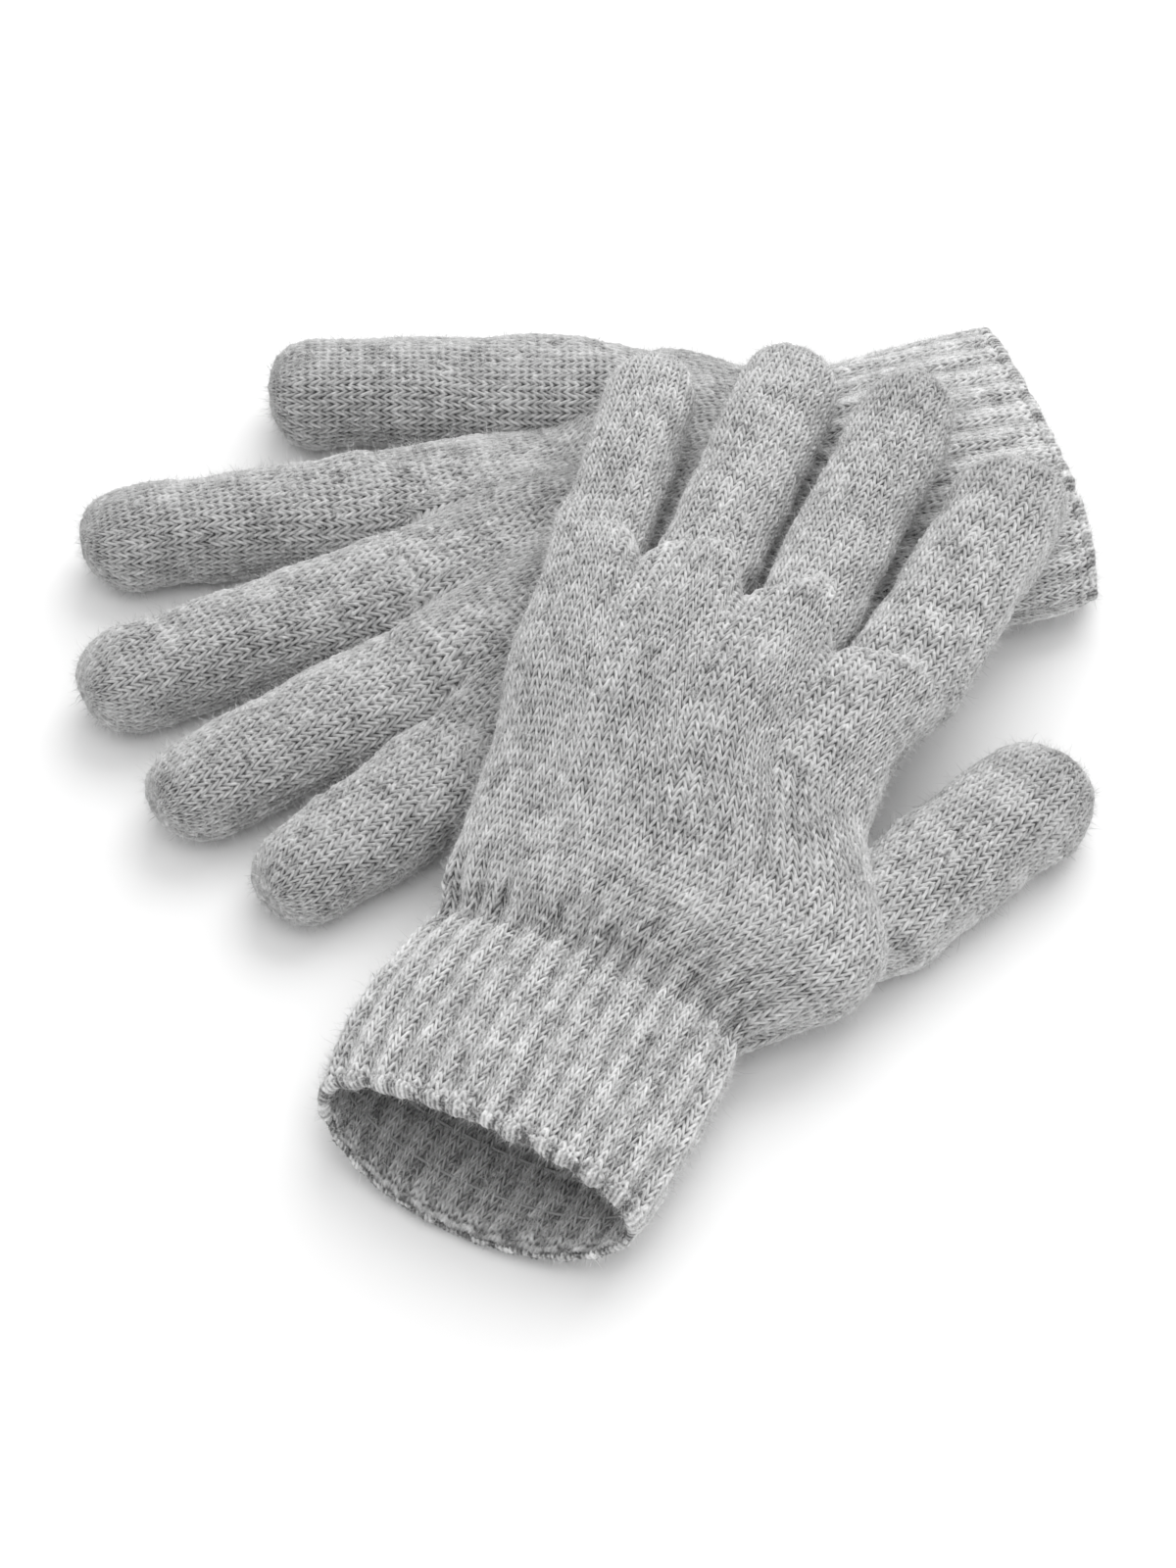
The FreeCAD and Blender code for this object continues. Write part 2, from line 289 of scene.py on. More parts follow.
def add_mesh(name, points, faces, material, values=None, vectors=None):
    """A mesh object from points in millimetres, with named values on its points."""
    mesh = bpy.data.meshes.new(name)
    if isinstance(faces, np.ndarray):
        mesh.vertices.add(points.size // 3)
        mesh.vertices.foreach_set("co", (points.ravel() * MM).astype(np.float32))
        mesh.loops.add(faces.size)
        mesh.loops.foreach_set("vertex_index", faces.ravel().astype(np.int32))
        mesh.polygons.add(len(faces))
        mesh.polygons.foreach_set("loop_start", np.arange(len(faces), dtype=np.int32) * faces.shape[1])
        mesh.update(calc_edges=True)
    else:
        mesh.from_pydata((points.reshape(-1, 3) * MM).tolist(), [], faces)
    mesh.polygons.foreach_set("use_smooth", np.ones(len(mesh.polygons), bool))
    for kind, field, given in (("FLOAT", "value", values), ("FLOAT_VECTOR", "vector", vectors)):
        for key, value in (given or {}).items():
            layer = mesh.attributes.new(key, kind, "POINT")
            layer.data.foreach_set(field, value.ravel().astype(np.float32))
    mesh.materials.append(material)
    mesh.update()
    obj = bpy.data.objects.new(name, mesh)
    bpy.context.scene.collection.objects.link(obj)
    return obj


def tube_faces(rows, columns, pole=False):
    """Quads of a closed tube's grid, and a fan to one last point if it ends in a pole."""
    j, i = np.meshgrid(np.arange(rows - 1), np.arange(columns), indexing="ij")
    k = (i + 1) % columns
    quads = np.stack([j * columns + i, (j + 1) * columns + i, (j + 1) * columns + k, j * columns + k], -1)
    faces = quads.reshape(-1, 4).tolist()
    if pole:
        last = (rows - 1) * columns
        faces += [[last + n, rows * columns, last + (n + 1) % columns] for n in range(columns)]
    return faces


def knit_piece(name, knit, first, last, material, seed, pole=None):
    """One length of a knit tube, from mesh row first to mesh row last."""
    rows = slice(first, last + 1)
    points = knit.points[rows]
    tone = knit.tone(seed)[rows]
    relief = knit.relief[rows]
    u = np.broadcast_to(knit.u[None, :], relief.shape)
    q = np.broadcast_to(knit.q[rows][:, None], relief.shape)
    yarn = np.stack([u, q, np.full_like(relief, seed % 17)], -1)
    flat = points.reshape(-1, 3)
    if pole is not None:
        flat = np.concatenate([flat, [pole]])
        tone = np.append(tone.ravel(), 0)
        relief = np.append(relief.ravel(), LEVEL)
        yarn = np.concatenate([yarn.reshape(-1, 3), yarn[-1, :1]])
    faces = tube_faces(points.shape[0], points.shape[1], pole is not None)
    # The relief drives the yarn's painted shade in the gaps and painted highlight on the legs.
    return add_mesh(name, flat, faces, material, {"relief": relief, "tone": tone}, {"yarn": yarn})


# ---------------------------------------------------------------------------------------------
# Materials
# ---------------------------------------------------------------------------------------------


def grey(value):
    return value, value, value


def new_material(name):
    """A new material, with its nodes, its links and its shader."""
    material = bpy.data.materials.new(name)
    material.use_nodes = True
    tree = material.node_tree
    return material, tree.nodes, tree.links, tree.nodes["Principled BSDF"]


def colour_ramp(nodes, low, high):
    """A ramp from one grey to another."""
    ramp = nodes.new("ShaderNodeValToRGB")
    for element, value in zip(ramp.color_ramp.elements, (low, high)):
        element.color = (*grey(value), 1)
    return ramp


def yarn_material(name, dark, light, fleck, seed):
    """Heather yarn: soft marl, fibre streaks along the yarn, painted shade in the gaps between the stitches
    and painted highlight on the tops of the legs.

    dark, light and fleck are greys: of the painted shade in the gaps, of the yarn and of its palest fibres.
    """
    material, nodes, links, shader = new_material(name)

    def node(kind, **settings):
        made = nodes.new(kind)
        for key, value in settings.items():
            setattr(made, key, value)
        return made

    def attribute(key):
        return node("ShaderNodeAttribute", attribute_name=key)

    def noise(vector, scale, detail=2.0, rough=0.5, w=0.0):
        made = node("ShaderNodeTexNoise", noise_dimensions="4D")
        made.inputs["Scale"].default_value = scale
        made.inputs["Detail"].default_value = detail
        made.inputs["Roughness"].default_value = rough
        made.inputs["W"].default_value = w
        links.new(vector, made.inputs["Vector"])
        return made.outputs["Fac"]

    def math_node(operation, a, b, clamp=False):
        made = node("ShaderNodeMath", operation=operation, use_clamp=clamp)
        for socket, value in zip(made.inputs, (a, b)):
            if isinstance(value, (int, float)):
                socket.default_value = value
            else:
                links.new(value, socket)
        return made.outputs[0]

    def spread(value, low, high, out_low, out_high):
        made = node("ShaderNodeMapRange")
        for key, number in zip(("From Min", "From Max", "To Min", "To Max"), (low, high, out_low, out_high)):
            made.inputs[key].default_value = number
        links.new(value, made.inputs["Value"])
        return made.outputs["Result"]

    place = node("ShaderNodeTexCoord").outputs["Object"]
    relief = attribute("relief").outputs["Fac"]
    tone = attribute("tone").outputs["Fac"]
    yarn = attribute("yarn").outputs["Vector"]
    along_yarn = node("ShaderNodeMapping")
    along_yarn.inputs["Scale"].default_value = (7.0, 9.0, 1.0)
    links.new(yarn, along_yarn.inputs["Vector"])

    patches = spread(noise(place, 130.0, 4.0, 0.62, seed), 0.3, 0.7, -0.20, 0.20)
    marl = math_node("MULTIPLY", tone, 0.13)
    streaks = spread(noise(along_yarn.outputs["Vector"], 1.0, 3.0, 0.7, seed + 3), 0.3, 0.7, -0.24, 0.24)
    mixed = math_node("ADD", math_node("ADD", patches, marl), math_node("ADD", streaks, 0.5))
    # Painted shade and painted highlight: darker where the relief is low, in the gaps between the stitches,
    # and lighter on the tops of the legs.
    height = spread(relief, 0.05, 0.75, -0.72, 0.24)
    mixed = math_node("ADD", mixed, height, clamp=True)

    ramp = colour_ramp(nodes, dark, light)
    links.new(mixed, ramp.inputs["Fac"])
    pale = node("ShaderNodeMix", data_type="RGBA")
    pale.inputs["B"].default_value = (*grey(fleck), 1)
    flecks = spread(noise(place, 650.0, 3.0, 0.6, seed + 9), 0.50, 0.72, 0.0, 0.8)
    links.new(flecks, pale.inputs["Factor"])
    links.new(ramp.outputs["Color"], pale.inputs["A"])
    links.new(pale.outputs["Result"], shader.inputs["Base Color"])

    rough = spread(noise(place, 300.0, 1.0), 0.3, 0.7, 0.82, 0.98)
    links.new(rough, shader.inputs["Roughness"])
    shader.inputs["Sheen Weight"].default_value = 0.35
    shader.inputs["Sheen Roughness"].default_value = 0.5
    shader.inputs["Specular IOR Level"].default_value = 0.15
    bump = node("ShaderNodeBump")
    bump.inputs["Strength"].default_value = 0.5
    bump.inputs["Distance"].default_value = 0.0002
    fibres = noise(along_yarn.outputs["Vector"], 2.2, 3.0, 0.6, seed + 5)
    links.new(fibres, bump.inputs["Height"])
    links.new(bump.outputs["Normal"], shader.inputs["Normal"])
    return material


# The lower glove's yarn is a darker copy of the same yarn, as painted shade for the lower glove.
PLAIN = {
    "lower": yarn_material("heather_yarn_lower_painted_shade", 0.06, 0.63, 0.82, 1.0),
    "upper": yarn_material("heather_yarn_upper", 0.07, 0.70, 0.87, 1.5),
}
RIB = yarn_material("heather_rib_yarn", 0.10, 0.90, 0.97, 2.0)
TOUCH = yarn_material("touch_yarn", 0.06, 0.60, 0.76, 3.0)
LINING = yarn_material("cuff_lining_yarn", 0.13, 0.66, 0.80, 4.0)


def fibre_material(name, value):
    """Loose fibre of one tone. The marl comes from the mixture of tones."""
    material, nodes, links, shader = new_material(name)
    shader.inputs["Base Color"].default_value = (*grey(value), 1)
    shader.inputs["Roughness"].default_value = 0.9
    shader.inputs["Sheen Weight"].default_value = 0.3
    shader.inputs["Specular IOR Level"].default_value = 0.1
    kinks = nodes.new("ShaderNodeTexNoise")
    kinks.inputs["Scale"].default_value = 4000.0
    bump = nodes.new("ShaderNodeBump")
    bump.inputs["Strength"].default_value = 0.4
    bump.inputs["Distance"].default_value = 0.0001
    links.new(kinks.outputs["Fac"], bump.inputs["Height"])
    links.new(bump.outputs["Normal"], shader.inputs["Normal"])
    return material


FIBRE_TONES = (("fibre_pale", 0.82), ("fibre_mid", 0.56), ("fibre_dark", 0.26))
FIBRES = [fibre_material(name, value) for name, value in FIBRE_TONES]


def mottled_material(name, scale, low, high, rough):
    """A matt grey that a noise varies between two tones."""
    material, nodes, links, shader = new_material(name)
    noise = nodes.new("ShaderNodeTexNoise")
    noise.inputs["Scale"].default_value = scale
    ramp = colour_ramp(nodes, low, high)
    links.new(noise.outputs["Fac"], ramp.inputs["Fac"])
    links.new(ramp.outputs["Color"], shader.inputs["Base Color"])
    shader.inputs["Roughness"].default_value = rough
    return material


ELASTIC = mottled_material("elastic_thread_wrap", 900.0, 0.24, 0.42, 0.8)


# ---------------------------------------------------------------------------------------------
# The nap
# ---------------------------------------------------------------------------------------------


FIBRE_RINGS = ((0.0, 1.0), (0.35, 0.9), (0.7, 0.7), (1.0, 0.25))  # how far along, and how thick there


def nap_piece(name, knit, first, last, density, seed, long=1.0, tones=(0.50, 0.36)):
    """Loose fibres that stand off one length of knit: thin ribbons, kinked and tapering.

    density is in fibres for each square millimetre, long is their length in millimetres before it is
    varied, and tones are the shares of pale and mid fibres.
    """
    rng = np.random.default_rng(seed + 1000)
    points, normals = knit.points[first : last + 1], knit.normals[first : last + 1]
    columns = points.shape[1]
    along = np.linalg.norm(np.diff(points, axis=0), axis=-1)
    around = np.linalg.norm(np.roll(points, -1, 1) - points, axis=-1)[:-1]
    area = (along * around).ravel()
    count = int(area.sum() * density)
    patchy = np.clip(1 + 0.45 * ripple(points[:-1], 9.0, seed + 8).ravel(), 0.25, 2.0)
    cell = rng.choice(len(area), count, p=area * patchy / (area * patchy).sum())
    j, i = np.divmod(cell, columns)
    a, b = rng.random((count, 1)), rng.random((count, 1))
    k = (i + 1) % columns
    near_row = points[j, i] * (1 - b) + points[j, k] * b
    far_row = points[j + 1, i] * (1 - b) + points[j + 1, k] * b
    root = near_row * (1 - a) + far_row * a
    out = normals[j, i]
    aside = rng.normal(size=(count, 3))
    aside = unit(aside - (aside * out).sum(-1, keepdims=True) * out)
    rise = rng.uniform(0.15, 1.0, (count, 1))
    lead = unit(out * rise + aside * (1.05 - rise))
    reach = long * np.clip(rng.gamma(4.0, 0.42, (count, 1)), 0.6, 4.2) * (1.25 - 0.55 * rise)
    curl = rng.normal(size=(count, 3)) * 0.45
    wide = unit(np.cross(lead, rng.normal(size=(count, 3))))
    thick = rng.uniform(0.04, 0.075, (count, 1))
    rings = []
    for t, taper in FIBRE_RINGS:
        kink = rng.normal(size=(count, 3)) * 0.10 * (t > 0)
        middle = root - out * 0.12 * (1 - t) + (lead * t + curl * t**2 * 0.6 + kink * t) * reach
        rings += [middle - wide * thick * taper / 2, middle + wide * thick * taper / 2]
    fibres = above_floor(np.stack(rings, 1))
    start = np.arange(count)[:, None] * 2 * len(FIBRE_RINGS)
    faces = np.concatenate([start + np.array((k, k + 1, k + 3, k + 2)) for k in (0, 2, 4)])
    obj = add_mesh(name, fibres, faces, FIBRES[0])
    for tone in FIBRES[1:]:
        obj.data.materials.append(tone)
    shade = np.searchsorted(np.cumsum(tones), rng.random(count))
    obj.data.polygons.foreach_set("material_index", np.tile(shade, 3).astype(np.int32))
    return obj


# ---------------------------------------------------------------------------------------------
# Frames
# ---------------------------------------------------------------------------------------------


def glove_axes(glove):
    x, y, turn = PLACES[glove]
    c, s = math.cos(math.radians(turn)), math.sin(math.radians(turn))
    return np.array([x, y, 0.0]), np.array([[c, s, 0], [-s, c, 0], [0, 0, 1.0]])


def to_row(glove, points):
    """Points in a glove's frame, put in the row frame."""
    origin, axes = glove_axes(glove)
    return origin + points @ axes


def joint(name):
    return next(j for j in frame["joints"] if j["name"] == name)


class Digit:
    """A digit's frame and sizes, read from the two hinges of its creases."""

    def __init__(self, glove, name):
        self.glove, self.name = glove, name
        self.width, self.height = DIGIT_SIZES[name]
        root, middle = (joint(f"{glove}_{name}_{crease}_fold") for crease in ("root", "middle"))
        top, bend = (np.array(j["pos_m"], float) / MM for j in (root, middle))
        self.x = unit(np.array(root["axis"], float))
        self.y = unit(bend - top)
        self.z = np.cross(self.x, self.y)
        self.origin = top - self.z * self.height
        self.length = 2 * np.linalg.norm(bend - top)
        self.web, self.slim = WEBS[glove, name], SLIM[glove, name]

    def half(self, side, s):
        """How far the knit reaches from the axis to the -x side (-1) or the +x side (1), s along."""
        web = self.web[0 if side < 0 else 1] * (1 - smooth(s, -4.0, 46.0))
        return self.width / 2 - self.slim[0 if side < 0 else 1] + web

    def at(self, x, y, z):
        """Points at x across, y along and z above the underside, in the row frame."""
        x, y, z = np.broadcast_arrays(x, y, z)
        return self.origin + x[..., None] * self.x + y[..., None] * self.y + z[..., None] * self.z


# How much wider a digit is at its root, and how much slimmer all along: (-x side, +x side).
WEBS = {(g, d): (0.0, 0.0) for g in GLOVES for d in DIGITS}
WEBS |= {("lower", d): (6.0, 0.0) for d in FINGERS}
WEBS |= {("lower", "pinky"): (5.0, 0.0), ("lower", "thumb"): (5.0, 0.0), ("upper", "index"): (1.0, 0.0)}
SLIM = {(g, d): (0.6, 0.6) for g in GLOVES for d in DIGITS}
SLIM |= {("lower", "index"): (0.3, 2.2), ("lower", "middle"): (0.3, 1.2), ("lower", "ring"): (0.3, 1.2)}
SLIM |= {("lower", "pinky"): (-0.6, 1.0), ("lower", "thumb"): (-0.5, 2.2)}
SLIM |= {("upper", "pinky"): (0.6, 2.6), ("upper", "ring"): (0.0, 2.6), ("upper", "middle"): (-0.4, 4.0)}
SLIM |= {("upper", "index"): (-2.6, 3.2), ("upper", "thumb"): (0.0, 1.7)}
OPEN_SIDES = {"pinky": -1, "index": 1}

DIGIT = {(g, d): Digit(g, d) for g in GLOVES for d in DIGITS}

# ---------------------------------------------------------------------------------------------
# The digits
# ---------------------------------------------------------------------------------------------

ROW_STEP = 0.5  # between the rows of a smooth surface
TIP_STEPS = 200
BASE_CUT = 0.52  # where the base's mesh ends, as a share of the way to the middle crease
DIGIT_OVAL = oval_table(0.85, 2.15, 2.5)
BURIED = {"thumb": 31.0, "index": 15.0, "middle": 15.0, "ring": 15.0, "pinky": 15.0}


def digit_surface(digit, seed):
    """The digit's smooth tube, from inside the palm to a rounded tip, and its arc length there."""
    wales = DIGIT_WALES[digit.name]
    angle = np.linspace(0, math.pi / 2, TIP_STEPS)
    tip_along, tip_share = np.sin(angle) ** 0.9, np.cos(angle) ** 0.9
    buried, straight = BURIED[digit.name], digit.length - TIP_DEPTH
    along = np.concatenate([np.arange(-buried, straight, 0.25), straight + TIP_DEPTH * tip_along])
    share = np.concatenate([np.ones(len(along) - TIP_STEPS), tip_share])
    radius = (digit.width + digit.height) / 4
    arc = np.concatenate([[0], np.cumsum(np.hypot(np.diff(along), radius * np.diff(share)))])
    rows = int(arc[-1] / ROW_STEP)
    even = np.linspace(0, arc[-1] - 0.6, rows + 1)
    s, r = np.interp(even, arc, along), np.interp(even, arc, share)
    ox, oz = on_oval(DIGIT_OVAL, np.arange(wales * COLUMNS) / (wales * COLUMNS))
    rng = np.random.default_rng(seed)
    bow = rng.uniform(-0.7, 0.7) * np.sin(math.pi * np.clip(s / digit.length, 0, 1))
    shrink = 1 - 0.16 * smooth(-s, 0, buried)
    if digit.name == "thumb":
        shrink = 1 - 0.50 * smooth(-s, 8.0, buried)
    sides = []
    for side in (-1, 1):
        bare = OPEN_SIDES.get(digit.name) == side
        half = digit.half(side, s) - 4.5 * bare * smooth(-s, 0.0, buried)
        sides.append((half * r * shrink)[:, None])
    left, right = sides
    b = (digit.height / 2 - 0.2) * r * shrink
    x = bow[:, None] + (right - left) / 2 + (right + left) / 2 * ox
    points = digit.at(x, s[:, None], digit.height / 2 + b[:, None] * oz)
    normals = grid_normals(points)
    lift = 0.45 * ripple(points, 17.0, seed + 1) * smooth(r, 0.2, 0.9)[:, None]
    points = points + normals * lift[..., None]
    fade = np.repeat((0.35 + 0.65 * smooth(r, 0.1, 0.6))[:, None], points.shape[1], 1)
    return points, s, even[1], fade


def build_digit(glove, name, seed):
    digit = DIGIT[glove, name]
    surface, along, step, fade = digit_surface(digit, seed)
    knit = Knit(surface, step, DIGIT_WALES[name], COURSE["digit"], seed, fade=fade)
    crease = digit.length / 2
    palm_body, base_body, end_body = f"{glove}_glove", f"{glove}_{name}_base", f"{glove}_{name}_end"
    total = knit.where[-1, 0]

    def row_at(distance):
        """The mesh row at the start of the course nearest to a distance along the digit."""
        share = np.interp(distance, along, np.arange(len(along)) * step) / total
        return int(round(share * (len(knit.q) - 1) / ROWS)) * ROWS

    closed = name not in TOUCH_DIGITS
    last_row = len(knit.q) - 1
    base_rows = 0, row_at(crease * BASE_CUT)
    end_rows = base_rows[1], last_row if closed else row_at(digit.length - TOUCH_LENGTH)
    pole = digit.at(0.0, digit.length, digit.height / 2)

    base = knit_piece(f"{glove}_{name}_base_knit", knit, *base_rows, PLAIN[glove], seed)
    visible = row_at(-3.0 if name != "thumb" else -16.0)
    base_nap = nap_piece(f"{glove}_{name}_base_nap", knit, visible, base_rows[1], NAP, seed)
    at_root = [digit.at(0.0, s, digit.height) * MM for s in (-5.5, 7.0)]
    for piece in (base, base_nap):
        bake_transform(piece)
    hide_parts(f"{glove}_{name}_base")

    end_pole = pole if closed else None
    end = knit_piece(f"{glove}_{name}_end_knit", knit, *end_rows, PLAIN[glove], seed, end_pole)
    end_nap = nap_piece(f"{glove}_{name}_end_nap", knit, *end_rows, NAP, seed + 1)
    at_middle = [digit.at(0.0, crease + s, digit.height) * MM for s in (-6.5, 6.5)]
    for piece in (end, end_nap):
        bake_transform(piece)
    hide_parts(f"{glove}_{name}_end")

    if not closed:
        tip_rows = end_rows[1], last_row
        tip = knit_piece(f"{glove}_{name}_touch_tip_knit", knit, *tip_rows, TOUCH, seed, pole)
        tip_nap = nap_piece(f"{glove}_{name}_touch_tip_nap", knit, *tip_rows, NAP, seed + 2)
        for piece in (tip, tip_nap):
            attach(piece, end_body)
        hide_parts(f"{glove}_{name}_touch_tip")


# ---------------------------------------------------------------------------------------------
# The sleeve: the cuff and the palm in one run of knit
# ---------------------------------------------------------------------------------------------

HEM_OVAL = oval_table(0.30, 2.0, 2.1)
PALM_OVAL = oval_table(0.27, 2.3, 2.7)
CUFF_ROWS = 100
PALM_ROWS = 200
TUCK = 1.7  # how deep the palm's last rows dive into the fingers
CROTCH = -9.0  # where neighbouring fingers part, along them from their root creases
KNUCKLES_WIDTH = 98.0
ROUNDING = 8.5  # over what length the palm takes on the fingers' heights
PUCKERS = (17, 23, 31)  # how many gathers of each kind run round the wrist
HEEL = 50.0  # the length of palm that bends with the cuff
LINING_DEPTH = 2.3
LINING_REACH = 14.0  # how far the inside of the cuff goes on past the wrist
WELT_SIDES = 24
ELASTIC_TURNS = 4
ELASTIC_FIRST, ELASTIC_PITCH = 10, 9  # from the hem, and from turn to turn
ELASTIC_DEPTH, ELASTIC_RADIUS = 2.15, 0.33
ELASTIC_SIDES = 8


def rib_share(wale):
    """Where a wale lies round a ribbed cuff: knit wales spread and purl wales draw in."""
    knit_width, purl_width = 1.08, 0.84
    edges = (0, knit_width, 2 * knit_width, 2 * knit_width + purl_width)
    whole, part = np.divmod(wale, RIB_WALES)
    return whole * RIB_WALES + np.interp(part, (0, 1, 2, 3), edges)


def rib_height(wale):
    """0 in the middle of a purl wale and 1 between the two knit wales of a rib."""
    return 0.5 + 0.5 * np.cos(2 * math.pi * (wale - 1.0) / RIB_WALES)


def front_line(glove, ox, oz):
    """Where the palm's knit ends on each finger, as points and as the fingers' directions."""
    widths = np.array([DIGIT_SIZES[f][0] for f in FINGERS])
    edges = np.concatenate([[0], np.cumsum(widths)]) / widths.sum() * 2 - 1
    index = np.clip(np.searchsorted(edges, ox, side="right") - 1, 0, 3)
    local = (ox - edges[index]) / (edges[index + 1] - edges[index]) * 2 - 1
    ends, directions = np.zeros((len(ox), 3)), np.zeros((len(ox), 3))
    digits = [DIGIT[glove, finger] for finger in FINGERS]

    def corner(k, side):
        return digits[k].at(side * digits[k].half(side, CROTCH), CROTCH, digits[k].height / 2)

    for k, digit in enumerate(digits):
        mine = index == k
        x = local[mine]
        crown = np.maximum(1 - np.abs(x) ** 2.2, 0) ** (1 / 2.2)
        open_side = ((k == 0) & (x < 0)) | ((k == 3) & (x > 0))
        reach = CROTCH + 9.5 * np.where(open_side, 1.0, crown)
        z = digit.height / 2 * (1 + np.sign(oz[mine]) * crown)
        half = np.where(x < 0, digit.half(-1, -5.0), digit.half(1, -5.0))
        place = digit.at(x * half, reach, z)
        for side, other in ((-1, k - 1), (1, k + 1)):
            if 0 <= other <= 3:
                gap = (corner(other, -side) - corner(k, side)) / 2
                place = place + gap * (smooth(side * x, 0.45, 1.0) * (side * x > 0))[:, None]
        ends[mine] = place
        directions[mine] = digit.y
    for _ in range(12):
        ends = (np.roll(ends, 1, 0) + 2 * ends + np.roll(ends, -1, 0)) / 4
    for _ in range(60):
        directions = (np.roll(directions, 1, 0) + 2 * directions + np.roll(directions, -1, 0)) / 4
    return ends, unit(directions)


def palm_level(stations, y, ox, oz, half):
    """How high the palm's outline lies at y along the glove, rolled about its middle."""
    under, height, roll = (curve_through(stations[:, 0], stations[:, k], y) for k in (1, 2, 3))
    roll = np.radians(roll)
    return under + height / 2 * (1 + oz) * np.cos(roll) - ox * half * np.sin(roll)


def sleeve_surface(glove):
    """The smooth cuff and palm, row by row from the hem, with the share of rib at each row."""
    shape = SLEEVES[glove]
    wale = np.arange(SLEEVE_WALES * COLUMNS) / COLUMNS
    even_share = wale / SLEEVE_WALES
    ribbed_share = rib_share(wale) / SLEEVE_WALES

    def loop(rib, hem):
        share = even_share * (1 - rib) + ribbed_share * rib
        hx, hz = on_oval(HEM_OVAL, share)
        px, pz = on_oval(PALM_OVAL, share)
        return hx * hem + px * (1 - hem), hz * hem + pz * (1 - hem)

    def ring(section, y, ox, oz):
        x, z, width, height = section
        return np.stack([x + width / 2 * ox, y + 0 * ox, z + height / 2 * (1 + oz)], -1)

    rows, ribs = [], []
    for t in np.linspace(0, 1, CUFF_ROWS + 1)[:-1]:
        ox, oz = loop(1.0, 1 - t)
        hem_y = shape["hem_top"] - shape["hem_lip"] * ((1 - oz) / 2) ** 2.4
        hem_y = hem_y + shape["hem_corner"] * ((1 - ox) / 2) ** 7
        hem = ring(shape["hem"], hem_y, ox, oz)
        wrist = ring(shape["wrist"], shape["wrist_y"], ox, oz)
        row = hem * (1 - t) + wrist * t
        left, right = shape["belly"]
        row[:, 0] += ox * np.where(ox < 0, left, right) * math.sin(math.pi * t**0.8)
        row[:, 2] += oz * 0.9 * math.sin(math.pi * t)
        rows.append(to_row(glove, row))
        ribs.append(np.full(len(ox), 1.0))
    stations = np.array(shape["palm"], float)
    wrist_y = shape["wrist_y"]
    for t in np.linspace(0, 1, PALM_ROWS + 1):
        rib = float(1 - smooth(t, 0.02, 0.17))
        ox, oz = loop(rib, 0.0)
        start = ring(shape["wrist"], wrist_y, ox, oz)
        ends, directions = front_line(glove, ox, oz)
        origin, axes = glove_axes(glove)
        ends, directions = (ends - origin) @ axes.T, directions @ axes.T
        reach = np.linalg.norm((ends - start)[:, :2], axis=1)[:, None]
        a, b, c, d = hermite(t)
        forward = np.stack([ox * 0.10, np.ones(len(ox)), 0 * ox], -1)
        row = a * start + b * forward * reach + c * ends + d * directions * reach
        half = 0.5 * (shape["wrist"][2] * (1 - t) + KNUCKLES_WIDTH * t)
        level = palm_level(stations, wrist_y + t * (ends[:, 1] - wrist_y), ox, oz, half)
        at_end = palm_level(stations, np.minimum(ends[:, 1], stations[-1, 0]), ox, oz, half)
        away = (1 - t) * reach[:, 0]
        pull = np.exp(-((away / ROUNDING) ** 1.4))
        row[:, 2] = level + (ends[:, 2] - at_end) * pull
        bulge = smooth(t, 0.0, 0.26) * (1 - smooth(t, 0.32, 0.60))
        row[:, 0] += shape["heel_bulge"] * ((1 + ox) / 2) ** 2 * bulge
        row[:, 0] -= shape["crotch_dent"] * ((1 + ox) / 2) ** 3 * math.exp(-(((t - 0.68) / 0.2) ** 2))
        row[:, 0] -= 1.5 * ((1 - ox) / 2) ** 2 * smooth(t, 0, 0.12) * (1 - smooth(t, 0.3, 0.9))
        rows.append(to_row(glove, row))
        ribs.append(np.full(len(ox), rib))
    points, rib = np.array(rows), np.array(ribs)
    left = np.linalg.norm(points - points[-1], axis=-1)
    tuck = TUCK * (1 - smooth(left, 0.0, 7.0))
    tuck[:CUFF_ROWS] = 0
    points = points - grid_normals(points) * tuck[..., None]
    middle = points.shape[1] // 4
    step = np.linalg.norm(np.diff(points[:, middle], axis=0), axis=1)
    return points, rib, step


def even_rows(points, extra, step, row_step):
    """The same surface with rows at even distances along the middle of its top."""
    reach = np.concatenate([[0], np.cumsum(step)])
    count = int(reach[-1] / row_step)
    where = np.interp(np.linspace(0, reach[-1], count + 1), reach, np.arange(len(reach)))
    where = np.repeat(where[:, None], points.shape[1], 1)
    return sample_rows(points, where), sample_rows(extra, where), reach[-1] / count, where[:, 0]


